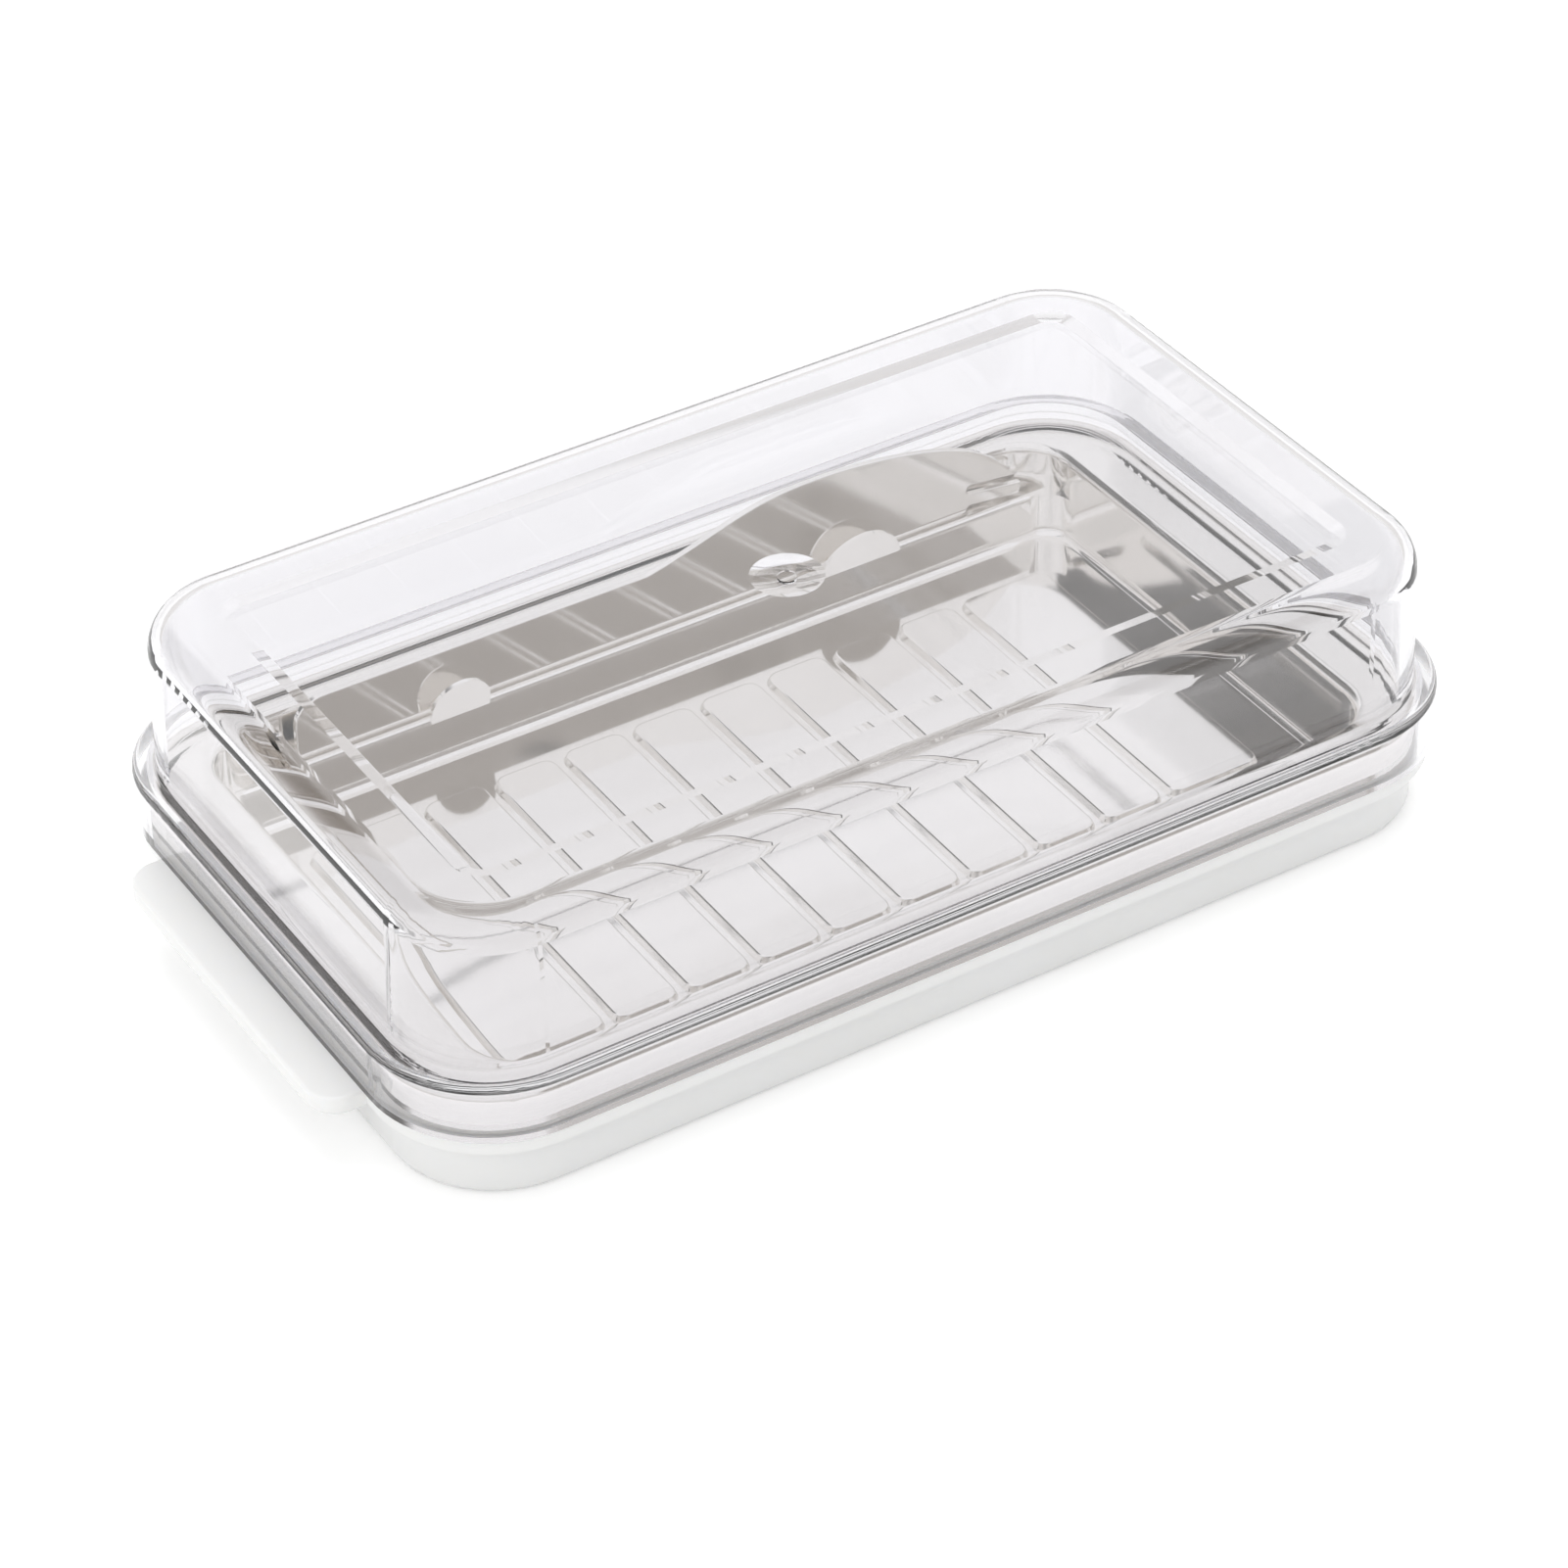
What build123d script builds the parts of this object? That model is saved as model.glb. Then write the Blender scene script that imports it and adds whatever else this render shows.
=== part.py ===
"""Butter case: white base with a grip tab, pressed steel tray, clear stepped lid and a stored knife.

Frame: origin on the table under the middle of the base, +X to the far end (the tab is at -X),
+Y to the side where the knife is stored, +Z up. Millimetres.
"""
import math
import os

from build123d import *

os.makedirs("parts", exist_ok=True)

# ---- butter and its cutting marks -------------------------------------------------------------
slice_pitch = 11.5
slice_marks = 9
mark_width = 1.1
pad_width = 54.8
end_pad_length = 15.8
pad_rise = 1.0
pad_corner = 2.2
pad_taper = 25.0
pad_edge_radius = 0.35

# ---- clearances --------------------------------------------------------------------------------
seat_gap = 0.3

# ---- corner centres of the outer plan, outside the pads; the rings lie at a reach around them ---
corner_border_x = 3.65
corner_border_y = 4.6

# ---- base --------------------------------------------------------------------------------------
base_reach = 15.9
base_wall = 2.0
base_floor = 2.4
base_foot_radius = 1.2
base_inner_radius = 1.5
flange_reach = 18.1
flange_low = 8.8
flange_top = 11.0
flange_edge_radius = 0.5
tab_reach = 24.7
tab_width = 59.0
tab_low = 8.0
tab_corner = 4.5
tab_edge_radius = 0.8

# ---- tray --------------------------------------------------------------------------------------
sheet = 0.5
end_reach = 4.8
side_reach = 9.7
pan_corner = 8.0
foot_bend = 1.5
shoulder_bend = 1.5
rim_reach = 16.0
rim_top = 17.45
rim_drop = 6.15
rim_bend = 1.2

# ---- ridge behind the butter and the knife's channel behind the ridge ---------------------------
ridge_reach = 4.8
ridge_width = 1.7
ridge_top = 10.3
ridge_bend = 0.75
pocket_corner = 4.4
channel_floor = 7.0
channel_bend = 0.5

# ---- lugs on the ridge, each placed back from the knife's tip -----------------------------------
lug_thick = 0.6
lug_lean = 12.0
blade_lug_back = 30.3
blade_lug_radius = 7.2
blade_lug_length = 6.3
handle_lug_back = 98.7
handle_lug_radius = 4.8
handle_lug_length = 6.6

# ---- lid ---------------------------------------------------------------------------------------
lid_wall = 2.0
skirt_reach = 18.7
step_top = 20.5
step_radius = 0.9
step_foot_radius = 0.5
dome_reach = 15.4
dome_top_reach = 14.65
lid_top = 44.0
dome_edge_radius = 5.0
panel_reach = 4.6
panel_slope = 2.0
panel_depth = 0.5
dimple_radius = 5.3
dimple_depth = 0.7
gate_radius = 1.4
gate_height = 0.5

# ---- knife: places back from its middle tip, heights above its lower edge -----------------------
knife_thick = 1.0
knife_edge_radius = 0.2
tip_gap = 5.0
handle_end_back = 123.9
handle_height = 12.5
handle_corner = 4.6
neck_back = 65.8
rise_back = 55.8
rise_height = 15.3
blade_heel_back = 45.8
blade_heel_height = 18.0
blade_peak_back = 32.8
blade_peak_height = 18.6
blade_fall_back = 17.8
blade_fall_height = 16.6
blade_nose_back = 7.6
blade_nose_height = 12.9
upper_tip_back = 2.1
upper_tip_height = 7.9
middle_tip_height = 4.0
lower_tip_back = 2.2
lower_tip_height = 0.9
lower_corner = 0.8
slot_root_back = 9.1
slot_width = 1.55
slot_run = 12.0
slot_drop = 1.4
upper_slot_height = 6.8
lower_slot_height = 3.15

# ---- sizes that follow -------------------------------------------------------------------------
inner_pad_length = slice_pitch - mark_width
inner_pads = slice_marks - 1
end_pad_x = (inner_pads * slice_pitch + mark_width + end_pad_length) / 2
pad_inset = sheet / math.cos(math.radians(pad_taper)) - sheet * math.tan(math.radians(pad_taper))
corner_x = end_pad_x + end_pad_length / 2 + corner_border_x
corner_y = pad_width / 2 + corner_border_y
pan_x = corner_x + end_reach
pan_y = corner_y + side_reach
seat_level = flange_top + seat_gap
rim_low = rim_top - rim_drop
tray_low = base_floor + seat_gap
tray_floor = tray_low + sheet
pad_top = tray_floor + pad_rise
ridge_front = corner_y + ridge_reach
ridge_back = ridge_front + ridge_width
lug_root = ridge_top - ridge_bend
lean = math.radians(lug_lean)
knife_low = channel_floor + seat_gap
knife_back = ridge_back + seat_gap + knife_thick
tip_x = pan_x - tip_gap
dome_height = lid_top - step_top
dimple_curve = (dimple_radius**2 + dimple_depth**2) / (2 * dimple_depth)
dome_taper = math.degrees(math.atan((dome_reach - dome_top_reach) / dome_height))
panel_level = lid_top - panel_depth


def plan(reach):
    """Rounded rectangle that lies `reach` outside the shared corner centres."""
    RectangleRounded(2 * (corner_x + reach), 2 * (corner_y + reach), reach)


def edges_at(part, level):
    """Every edge of the part that lies at one height."""
    return part.edges().filter_by_position(Axis.Z, level, level)


# ================================================================================================
# base
# ================================================================================================
with BuildPart() as base:
    with BuildSketch(Plane.XY.offset(tab_low)) as tab_plan:
        with Locations((-corner_x - tab_reach, 0)):
            Rectangle(2 * tab_reach, tab_width, align=(Align.MIN, Align.CENTER))
        fillet(tab_plan.vertices().group_by(Axis.X)[0], tab_corner)
    extrude(amount=flange_top - tab_low)
    fillet(edges_at(base, tab_low).group_by(Axis.X)[:-1], tab_edge_radius)
    with BuildSketch(Plane.XY.offset(flange_low)):
        plan(flange_reach)
    extrude(amount=flange_top - flange_low)
    fillet(edges_at(base, flange_top), flange_edge_radius)
    with BuildSketch():
        plan(base_reach)
    extrude(amount=flange_top)
    fillet(edges_at(base, 0), base_foot_radius)
    with BuildSketch(Plane.XY.offset(base_floor)):
        plan(base_reach - base_wall)
    extrude(amount=flange_top - base_floor, mode=Mode.SUBTRACT)
    fillet(edges_at(base, base_floor), base_inner_radius)

base.part.label = "base"
export_step(base.part, "parts/base.step")

# ================================================================================================
# tray
# ================================================================================================
def pan_plan(growth):
    """Plan of the whole pan, each side moved out by `growth`."""
    RectangleRounded(2 * (pan_x + growth), 2 * (pan_y + growth), pan_corner + growth)


def pocket_plan(growth, mode=Mode.ADD):
    """Plan of the butter's pocket, from the front wall to the ridge, each side moved out by `growth`."""
    with BuildSketch(mode=Mode.PRIVATE) as outline:
        with Locations((0, ridge_front + growth)):
            Rectangle(2 * (pan_x + growth), ridge_front + pan_y + 2 * growth, align=(Align.CENTER, Align.MAX))
        fillet(outline.vertices().group_by(Axis.Y)[0], pan_corner + growth)
        fillet(outline.vertices().group_by(Axis.Y)[-1], pocket_corner + growth)
    add(outline.sketch, mode=mode)


def pad_plan(inset):
    """Footprints of all the pads, each side moved in by `inset`."""
    with GridLocations(slice_pitch, 1, inner_pads, 1):
        RectangleRounded(inner_pad_length - 2 * inset, pad_width - 2 * inset, pad_corner - inset)
    with Locations((-end_pad_x, 0), (end_pad_x, 0)):
        RectangleRounded(end_pad_length - 2 * inset, pad_width - 2 * inset, pad_corner - inset)


lug_plane = Plane(
    origin=(0, ridge_front + lug_thick, lug_root),
    x_dir=(1, 0, 0),
    z_dir=(0, -math.cos(lean), -math.sin(lean)),
)


def lug(spot, radius, length):
    """Round-topped lug that stands on the ridge and leans over the butter."""
    with BuildSketch(lug_plane) as lug_plan:
        with Locations((spot, length - radius)):
            Circle(radius)
            Rectangle(2 * radius, radius, align=(Align.CENTER, Align.MAX))
        with Locations((spot, 0)):
            Rectangle(2 * radius, length, align=(Align.CENTER, Align.MIN), mode=Mode.INTERSECT)
    extrude(lug_plan.sketch, amount=lug_thick)


with BuildPart() as pocket:
    with BuildSketch(Plane.XY.offset(tray_floor)):
        pocket_plan(0)
    extrude(amount=rim_top - tray_floor)
    fillet(edges_at(pocket, tray_floor), foot_bend)

with BuildPart() as crest:
    with BuildSketch(Plane.YZ):
        with Locations((ridge_front, ridge_top)):
            Rectangle(ridge_bend, ridge_bend, align=(Align.MIN, Align.MAX))
        with Locations((ridge_front + ridge_bend, ridge_top - ridge_bend)):
            Circle(ridge_bend, mode=Mode.SUBTRACT)
    extrude(amount=pan_x - pocket_corner, both=True)

with BuildPart() as tray:
    # flange and its turned-down rim
    with BuildSketch(Plane.XY.offset(rim_low)):
        plan(rim_reach)
    extrude(amount=rim_drop)
    fillet(edges_at(tray, rim_top), rim_bend)
    with BuildSketch(Plane.XY.offset(rim_low)):
        plan(rim_reach - sheet)
    extrude(amount=rim_drop - sheet, mode=Mode.SUBTRACT)
    fillet(edges_at(tray, rim_top - sheet), rim_bend - sheet)
    # outside of the pan: walls down to the knife's channel, then the butter's pocket
    with BuildSketch(Plane.XY.offset(channel_floor - sheet)):
        pan_plan(sheet)
    extrude(amount=rim_top - channel_floor)
    shoulder = tray.edges(Select.LAST).filter_by_position(Axis.Z, rim_top - sheet, rim_top - sheet)
    fillet(shoulder, shoulder_bend - sheet)
    with BuildSketch(Plane.XY.offset(tray_low)):
        pocket_plan(sheet)
    extrude(amount=channel_floor - sheet - tray_low)
    fillet(edges_at(tray, tray_low), foot_bend + sheet)
    # inside of the pan
    add(pocket.part, mode=Mode.SUBTRACT)
    with BuildSketch(Plane.XY.offset(ridge_top)):
        pan_plan(0)
    extrude(amount=rim_top - ridge_top, mode=Mode.SUBTRACT)
    inner_ring = edges_at(tray, rim_top).filter_by_position(Axis.X, -pan_x - sheet, pan_x + sheet)
    fillet(inner_ring.filter_by_position(Axis.Y, -pan_y - sheet, pan_y + sheet), shoulder_bend)
    with BuildSketch(Plane.XY.offset(channel_floor)):
        pan_plan(0)
        with Locations((0, ridge_back)):
            Rectangle(2 * pan_x, ridge_back + pan_y, align=(Align.CENTER, Align.MAX), mode=Mode.SUBTRACT)
    extrude(amount=ridge_top - channel_floor, mode=Mode.SUBTRACT)
    fillet(edges_at(tray, channel_floor), channel_bend)
    # hollow under the ridge
    with BuildSketch(Plane.XY.offset(channel_floor - sheet)):
        pan_plan(0)
        pocket_plan(sheet, Mode.SUBTRACT)
        with Locations((0, ridge_back - sheet)):
            Rectangle(2 * pan_x, pan_y, align=(Align.CENTER, Align.MIN), mode=Mode.SUBTRACT)
    extrude(amount=ridge_top - channel_floor, mode=Mode.SUBTRACT)
    # rounded crest of the ridge
    fillet(edges_at(tray, ridge_top).sort_by(Axis.Y)[-1], ridge_bend)
    add(crest.part, mode=Mode.SUBTRACT)
    # pads for the butter
    with BuildSketch(Plane.XY.offset(tray_floor)):
        pad_plan(0)
    extrude(amount=pad_rise, taper=pad_taper)
    fillet(edges_at(tray, pad_top), pad_edge_radius)
    with BuildSketch(Plane.XY.offset(tray_low)):
        pad_plan(pad_inset)
    extrude(amount=pad_rise, taper=pad_taper, mode=Mode.SUBTRACT)
    # lugs
    lug(tip_x - blade_lug_back, blade_lug_radius, blade_lug_length)
    lug(tip_x - handle_lug_back, handle_lug_radius, handle_lug_length)

tray.part.label = "tray"
export_step(tray.part, "parts/tray.step")

# ================================================================================================
# lid
# ================================================================================================
with BuildPart() as lid:
    with BuildSketch(Plane.XY.offset(seat_level)):
        plan(skirt_reach)
    extrude(amount=step_top - seat_level)
    fillet(edges_at(lid, step_top), step_radius)
    with BuildSketch(Plane.XY.offset(step_top)):
        plan(dome_reach)
    extrude(amount=dome_height, taper=dome_taper)
    foot = edges_at(lid, step_top).filter_by_position(Axis.X, -corner_x - dome_reach, corner_x + dome_reach)
    foot = foot.filter_by_position(Axis.Y, -corner_y - dome_reach, corner_y + dome_reach)
    fillet(foot, step_foot_radius)
    fillet(edges_at(lid, lid_top), dome_edge_radius)
    offset(amount=-lid_wall, openings=lid.faces().sort_by(Axis.Z)[0])
    with BuildSketch(Plane.XY.offset(lid_top)):
        plan(panel_reach)
    with BuildSketch(Plane.XY.offset(panel_level)):
        plan(panel_reach - panel_slope)
    loft(mode=Mode.SUBTRACT)
    with BuildSketch(Plane.XZ):
        with BuildLine():
            RadiusArc((0, panel_level - dimple_depth), (dimple_radius, panel_level), -dimple_curve)
            Line((dimple_radius, panel_level), (0, panel_level))
            Line((0, panel_level), (0, panel_level - dimple_depth))
        make_face()
    revolve(axis=Axis.Z, mode=Mode.SUBTRACT)
    with BuildSketch(Plane.XY.offset(panel_level - dimple_depth)):
        Circle(gate_radius)
    extrude(amount=gate_height)

lid.part.label = "lid"
export_step(lid.part, "parts/lid.step")

# ================================================================================================
# knife
# ================================================================================================
with BuildPart() as knife:
    with BuildSketch(Plane.XZ.offset(-knife_back)) as knife_plan:
        with BuildLine():
            back_start = (tip_x - handle_end_back, knife_low + handle_height)
            back_end = (tip_x - neck_back, knife_low + handle_height)
            upper_tip = (tip_x - upper_tip_back, knife_low + upper_tip_height)
            lower_tip = (tip_x - lower_tip_back, knife_low + lower_tip_height)
            Line(back_start, back_end)
            Spline(
                back_end,
                (tip_x - rise_back, knife_low + rise_height),
                (tip_x - blade_heel_back, knife_low + blade_heel_height),
                (tip_x - blade_peak_back, knife_low + blade_peak_height),
                (tip_x - blade_fall_back, knife_low + blade_fall_height),
                (tip_x - blade_nose_back, knife_low + blade_nose_height),
                upper_tip,
            )
            ThreePointArc(upper_tip, (tip_x, knife_low + middle_tip_height), lower_tip)
            Polyline(
                lower_tip,
                (tip_x - lower_tip_back - lower_corner, knife_low),
                (tip_x - handle_end_back, knife_low),
                back_start,
            )
        make_face()
        fillet(knife_plan.vertices().group_by(Axis.X)[0], handle_corner)
        for slot_height in (upper_slot_height, lower_slot_height):
            slot_root = (tip_x - slot_root_back, knife_low + slot_height)
            slot_end = (tip_x - slot_root_back + slot_run, knife_low + slot_height - slot_drop)
            SlotCenterPoint(slot_end, slot_root, slot_width, mode=Mode.SUBTRACT)
    extrude(amount=knife_thick)
    fillet(knife.edges().group_by(Axis.Y)[0] + knife.edges().group_by(Axis.Y)[-1], knife_edge_radius)

knife.part.label = "knife"
export_step(knife.part, "parts/knife.step")
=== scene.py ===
"""Butter case with a clear lid on a white table: materials, studio light and camera."""
import math

import bpy
from mathutils import Matrix, Vector


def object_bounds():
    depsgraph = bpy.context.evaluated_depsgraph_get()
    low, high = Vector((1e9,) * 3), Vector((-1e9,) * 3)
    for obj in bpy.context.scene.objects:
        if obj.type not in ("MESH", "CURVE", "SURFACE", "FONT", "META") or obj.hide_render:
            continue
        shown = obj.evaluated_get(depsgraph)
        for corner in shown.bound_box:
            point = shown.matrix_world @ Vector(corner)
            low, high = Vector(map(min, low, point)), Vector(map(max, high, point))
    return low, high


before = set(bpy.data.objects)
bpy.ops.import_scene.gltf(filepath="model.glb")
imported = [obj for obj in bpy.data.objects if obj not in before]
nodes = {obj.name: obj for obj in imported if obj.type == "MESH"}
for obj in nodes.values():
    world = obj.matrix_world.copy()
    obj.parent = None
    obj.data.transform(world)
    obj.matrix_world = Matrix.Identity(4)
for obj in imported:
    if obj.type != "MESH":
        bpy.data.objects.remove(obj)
cad_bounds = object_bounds()

WHITE = (1.0, 1.0, 1.0)
NOISE_LOW, NOISE_HIGH = 0.35, 0.65  # the range that a noise texture mostly stays in

# the pieces' colours, each pair a dimmer and a brighter one
PLASTIC_DIM, PLASTIC_BRIGHT = (0.90, 0.90, 0.885), (0.92, 0.92, 0.91)
STEEL_DIM, STEEL_BRIGHT = (0.89, 0.875, 0.855), (0.92, 0.908, 0.89)
LID_DIM, LID_BRIGHT = (0.930, 0.926, 0.944), (0.940, 0.936, 0.952)
LID_SHADOW = (0.95, 0.95, 0.96)  # what each face of the lid lets through of the lamps' light
KNIFE_LEAN = 0.12  # rise added to the unit normal, because the stored knife seems to lean back a little

# the floor, in metres, and the light that it gives off to the rays that see it
FLOOR_SIZE = 6.0
FLOOR_DROP = 0.0002  # keeps it just clear of the base's underside
FLOOR_COLOUR = (0.86, 0.86, 0.86)
OPEN_GLOW = 0.30  # for rays that come straight or by a reflection
LID_LOSS = 0.15  # less of it for rays that come through the clear lid

# the room that the steel and the lid show; heights are sines of the angle above the horizon
HORIZON_COLOUR = (0.80, 0.785, 0.765)
HORIZON_HEIGHT, SKY_HEIGHT = 0.20, 0.50
ROOM_LIGHT = (0.80, 0.80, 0.80)  # what matt surfaces get from the room
BLACK_CARD, BACK_LEFT = (0.06, 0.056, 0.05), (-0.416, 0.679, 0.605)  # for the tray's far end
GREY_CARD, FRONT_RIGHT = (0.34, 0.31, 0.275), (0.416, -0.82, 0.42)  # for the knife, by way of the pads


# ---- node helpers ------------------------------------------------------------------------------
def new_material(name):
    material = bpy.data.materials.new(name)
    material.use_nodes = True
    tree = material.node_tree
    tree.nodes.clear()
    out = tree.nodes.new("ShaderNodeOutputMaterial")
    shader = tree.nodes.new("ShaderNodeBsdfPrincipled")
    tree.links.new(shader.outputs["BSDF"], out.inputs["Surface"])
    return material, tree, shader, out


def noise(tree, scale, detail):
    """Noise in object space, so that it sticks to the piece."""
    coords = tree.nodes.new("ShaderNodeTexCoord")
    texture = tree.nodes.new("ShaderNodeTexNoise")
    texture.inputs["Scale"].default_value = scale
    texture.inputs["Detail"].default_value = detail
    texture.inputs["Roughness"].default_value = 0.5
    tree.links.new(coords.outputs["Object"], texture.inputs["Vector"])
    return texture.outputs["Fac"]


def share_between(tree, value, low, high):
    """0 where the value is low or less, 1 where it is high or more, and even between."""
    node = tree.nodes.new("ShaderNodeMapRange")
    node.inputs["From Min"].default_value = low
    node.inputs["From Max"].default_value = high
    tree.links.new(value, node.inputs["Value"])
    return node.outputs["Result"]


def plug_colour(tree, source, socket):
    """Links a node's output to the socket, or sets a plain colour on it."""
    if isinstance(source, bpy.types.NodeSocket):
        tree.links.new(source, socket)
    else:
        socket.default_value = (*source, 1)


def mix_colours(tree, factor, first, second):
    node = tree.nodes.new("ShaderNodeMix")
    node.data_type = "RGBA"
    tree.links.new(factor, node.inputs["Factor"])
    plug_colour(tree, first, node.inputs["A"])
    plug_colour(tree, second, node.inputs["B"])
    return node.outputs["Result"]


def drifting_colour(tree, first, second, scale, detail):
    """A faint drift over the piece between two close colours."""
    share = share_between(tree, noise(tree, scale, detail), NOISE_LOW, NOISE_HIGH)
    return mix_colours(tree, share, first, second)


def bump(tree, height, strength, distance):
    node = tree.nodes.new("ShaderNodeBump")
    node.inputs["Strength"].default_value = strength
    node.inputs["Distance"].default_value = distance
    tree.links.new(height, node.inputs["Height"])
    return node.outputs["Normal"]


def either_ray(tree, path, first, second):
    """1 for rays of either kind that Light Path tells apart, and 0 for others."""
    node = tree.nodes.new("ShaderNodeMath")
    node.operation = "MAXIMUM"
    tree.links.new(path.outputs[first], node.inputs[0])
    tree.links.new(path.outputs[second], node.inputs[1])
    return node.outputs["Value"]


# ---- materials ---------------------------------------------------------------------------------
def white_plastic():
    material, tree, shader, _ = new_material("white_plastic")
    colour = drifting_colour(tree, PLASTIC_DIM, PLASTIC_BRIGHT, scale=40, detail=2)
    tree.links.new(colour, shader.inputs["Base Color"])
    shader.inputs["Roughness"].default_value = 0.22
    shader.inputs["IOR"].default_value = 1.5
    shader.inputs["Subsurface Weight"].default_value = 0.35
    shader.inputs["Subsurface Radius"].default_value = (1.0, 0.95, 0.85)
    shader.inputs["Subsurface Scale"].default_value = 0.004
    moulded_grain = bump(tree, noise(tree, scale=900, detail=4), strength=0.05, distance=0.0001)
    tree.links.new(moulded_grain, shader.inputs["Normal"])
    return material


def tipped_normal(tree, rise):
    """The face's normal with some rise added, so that its reflections come from higher up."""
    face = tree.nodes.new("ShaderNodeNewGeometry")
    tipped = tree.nodes.new("ShaderNodeVectorMath")
    tipped.operation = "ADD"
    tree.links.new(face.outputs["Normal"], tipped.inputs[0])
    tipped.inputs[1].default_value = (0, 0, rise)
    unit = tree.nodes.new("ShaderNodeVectorMath")
    unit.operation = "NORMALIZE"
    tree.links.new(tipped.outputs["Vector"], unit.inputs[0])
    return unit.outputs["Vector"]


def polished_steel(name, lean=0.0):
    """Polished sheet; a lean shades it as a piece that doesn't stand quite upright."""
    material, tree, shader, _ = new_material(name)
    colour = drifting_colour(tree, STEEL_DIM, STEEL_BRIGHT, scale=30, detail=3)
    tree.links.new(colour, shader.inputs["Base Color"])
    shader.inputs["Metallic"].default_value = 1.0
    shader.inputs["Roughness"].default_value = 0.08
    if lean:
        tree.links.new(tipped_normal(tree, lean), shader.inputs["Normal"])
    return material


def clear_plastic():
    """Clear all through, and open to the lamps' light, so that no dark shadow falls on what it covers."""
    material, tree, shader, out = new_material("clear_plastic")
    colour = drifting_colour(tree, LID_DIM, LID_BRIGHT, scale=12, detail=2)
    tree.links.new(colour, shader.inputs["Base Color"])
    shader.inputs["Transmission Weight"].default_value = 1.0
    shader.inputs["Roughness"].default_value = 0.0
    shader.inputs["IOR"].default_value = 1.57
    path = tree.nodes.new("ShaderNodeLightPath")
    through = tree.nodes.new("ShaderNodeBsdfTransparent")
    through.inputs["Color"].default_value = (*LID_SHADOW, 1)
    mix = tree.nodes.new("ShaderNodeMixShader")
    tree.links.new(path.outputs["Is Shadow Ray"], mix.inputs["Fac"])
    tree.links.new(shader.outputs["BSDF"], mix.inputs[1])
    tree.links.new(through.outputs["BSDF"], mix.inputs[2])
    tree.links.new(mix.outputs["Shader"], out.inputs["Surface"])
    return material


finishes = {
    "base": white_plastic(),
    "tray": polished_steel("tray_steel"),
    "lid": clear_plastic(),
    "knife": polished_steel("knife_steel", KNIFE_LEAN),
}
for name, finish in finishes.items():
    for material_slot in nodes[name].material_slots:
        material_slot.material = finish


# ---- floor -------------------------------------------------------------------------------------
def floor_white():
    """White to the rays that see it, and still plain enough to show the object's shadow."""
    material, tree, shader, _ = new_material("floor_white")
    shader.inputs["Base Color"].default_value = (*FLOOR_COLOUR, 1)
    shader.inputs["Roughness"].default_value = 1.0
    shader.inputs["Specular IOR Level"].default_value = 0.0
    path = tree.nodes.new("ShaderNodeLightPath")
    open_glow = tree.nodes.new("ShaderNodeMath")
    open_glow.operation = "MULTIPLY"
    open_glow.inputs[1].default_value = OPEN_GLOW
    tree.links.new(either_ray(tree, path, "Is Camera Ray", "Is Glossy Ray"), open_glow.inputs[0])
    # a ray refracted by the lid counts as glossy too, so its loss comes off the open glow
    glow = tree.nodes.new("ShaderNodeMath")
    glow.operation = "MULTIPLY_ADD"
    glow.inputs[1].default_value = -LID_LOSS
    tree.links.new(path.outputs["Is Transmission Ray"], glow.inputs[0])
    tree.links.new(open_glow.outputs["Value"], glow.inputs[2])
    tree.links.new(glow.outputs["Value"], shader.inputs["Emission Strength"])
    shader.inputs["Emission Color"].default_value = (*WHITE, 1)
    return material


lowest = cad_bounds[0][2]
bpy.ops.mesh.primitive_plane_add(size=FLOOR_SIZE, location=(0, 0, lowest - FLOOR_DROP))
floor = bpy.context.object
floor.name = "floor"
floor.data.materials.append(floor_white())

# ---- studio surroundings -----------------------------------------------------------------------
world = bpy.data.worlds.new("studio")
bpy.context.scene.world = world
world.use_nodes = True
tree = world.node_tree
tree.nodes.clear()
out = tree.nodes.new("ShaderNodeOutputWorld")
background = tree.nodes.new("ShaderNodeBackground")
tree.links.new(background.outputs["Background"], out.inputs["Surface"])
coords = tree.nodes.new("ShaderNodeTexCoord")
towards = coords.outputs["Generated"]


def with_card(behind, colour, direction, core, edge):
    """A round card far away in one direction, full to the core angle and gone at the edge, in degrees."""
    dot = tree.nodes.new("ShaderNodeVectorMath")
    dot.operation = "DOT_PRODUCT"
    tree.links.new(towards, dot.inputs[0])
    dot.inputs[1].default_value = Vector(direction).normalized()
    faint, full = math.cos(math.radians(edge)), math.cos(math.radians(core))
    return mix_colours(tree, share_between(tree, dot.outputs["Value"], faint, full), behind, colour)


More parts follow.
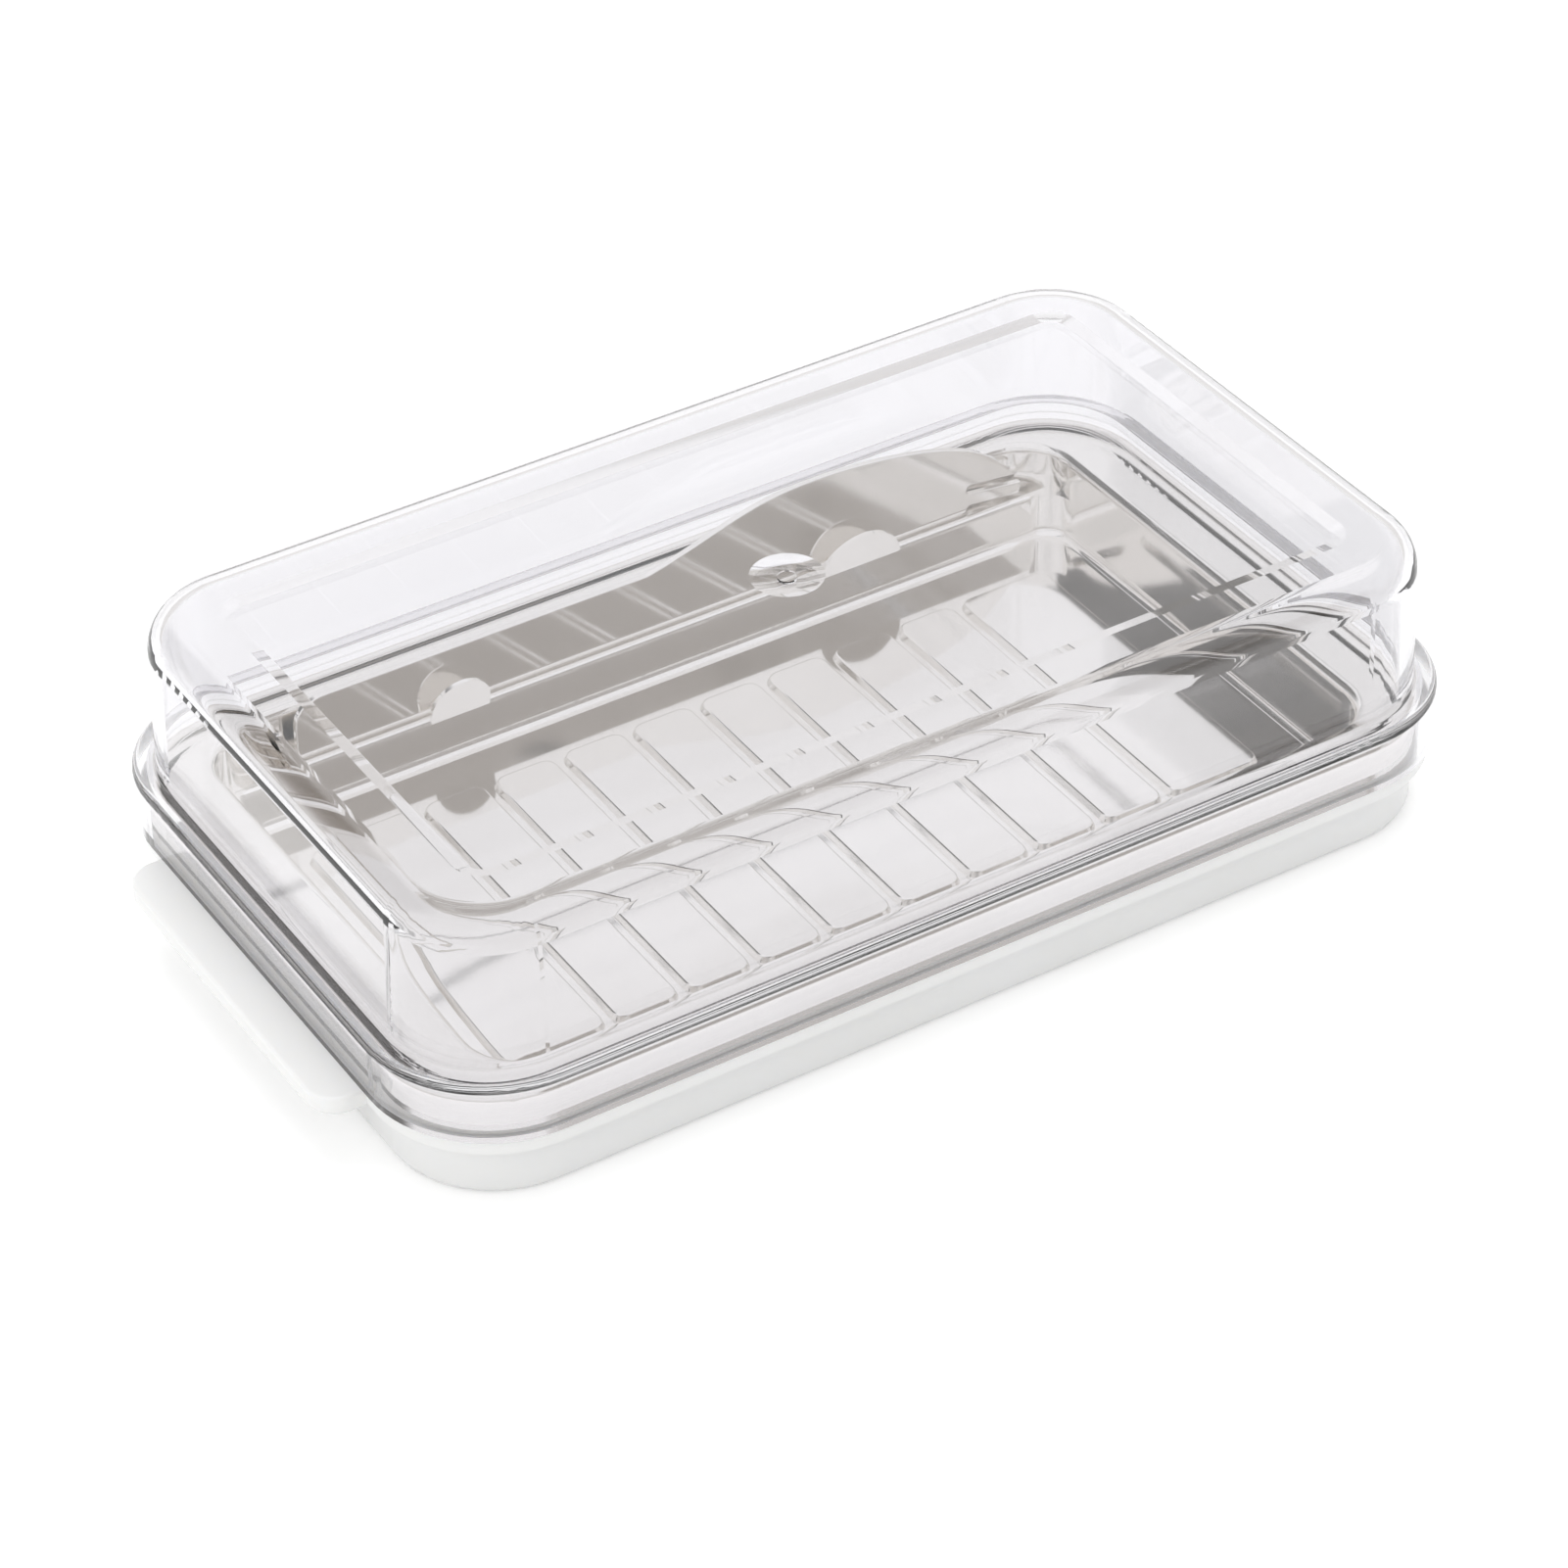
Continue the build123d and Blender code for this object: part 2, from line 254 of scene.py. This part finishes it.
xyz = tree.nodes.new("ShaderNodeSeparateXYZ")
tree.links.new(towards, xyz.inputs["Vector"])
sky_share = share_between(tree, xyz.outputs["Z"], HORIZON_HEIGHT, SKY_HEIGHT)
studio = mix_colours(tree, sky_share, HORIZON_COLOUR, WHITE)
studio = with_card(studio, BLACK_CARD, BACK_LEFT, core=18, edge=30)
studio = with_card(studio, GREY_CARD, FRONT_RIGHT, core=13, edge=20)

path = tree.nodes.new("ShaderNodeLightPath")
shows_studio = either_ray(tree, path, "Is Glossy Ray", "Is Transmission Ray")
lit_or_shown = mix_colours(tree, shows_studio, ROOM_LIGHT, studio)
seen = mix_colours(tree, path.outputs["Is Camera Ray"], lit_or_shown, WHITE)
tree.links.new(seen, background.inputs["Color"])
background.inputs["Strength"].default_value = 1.0


def soft_box(name, spot, side, watts):
    """A square lamp aimed at the origin, which neither the steel nor the lid shows."""
    lamp = bpy.data.lights.new(name, "AREA")
    lamp.shape = "SQUARE"
    lamp.size = side
    lamp.energy = watts
    holder = bpy.data.objects.new(name, lamp)
    bpy.context.scene.collection.objects.link(holder)
    holder.location = spot
    holder.rotation_euler = (-Vector(spot)).to_track_quat("-Z", "Y").to_euler()
    holder.visible_glossy = False
    holder.visible_transmission = False


soft_box("top_box", spot=(0.25, 0.45, 1.3), side=1.2, watts=7)
soft_box("left_box", spot=(-1.1, -0.5, 0.8), side=0.9, watts=3)

# ---- camera, solved from the straight edges in the photo ---------------------------------------
right = Vector((0.84687, -0.53159, -0.01476))
up = Vector((0.33148, 0.50595, 0.79633))
back = Vector((-0.41585, -0.67928, 0.60469))
place = Vector((-0.29438, -0.47902, 0.43425))
lens = bpy.data.cameras.new("camera")
lens.sensor_width = 36
lens.lens = 114.13
lens.clip_start = 0.01
camera = bpy.data.objects.new("camera", lens)
bpy.context.scene.collection.objects.link(camera)
camera.matrix_world = Matrix((
    (right.x, up.x, back.x, place.x),
    (right.y, up.y, back.y, place.y),
    (right.z, up.z, back.z, place.z),
    (0, 0, 0, 1),
))
bpy.context.scene.camera = camera
bpy.context.scene.view_settings.view_transform = "Standard"

# light runs far inside the clear walls, and a path that is cut short there renders black
cycles = bpy.context.scene.cycles
cycles.max_bounces = 48
cycles.transmission_bounces = 48
cycles.glossy_bounces = 12
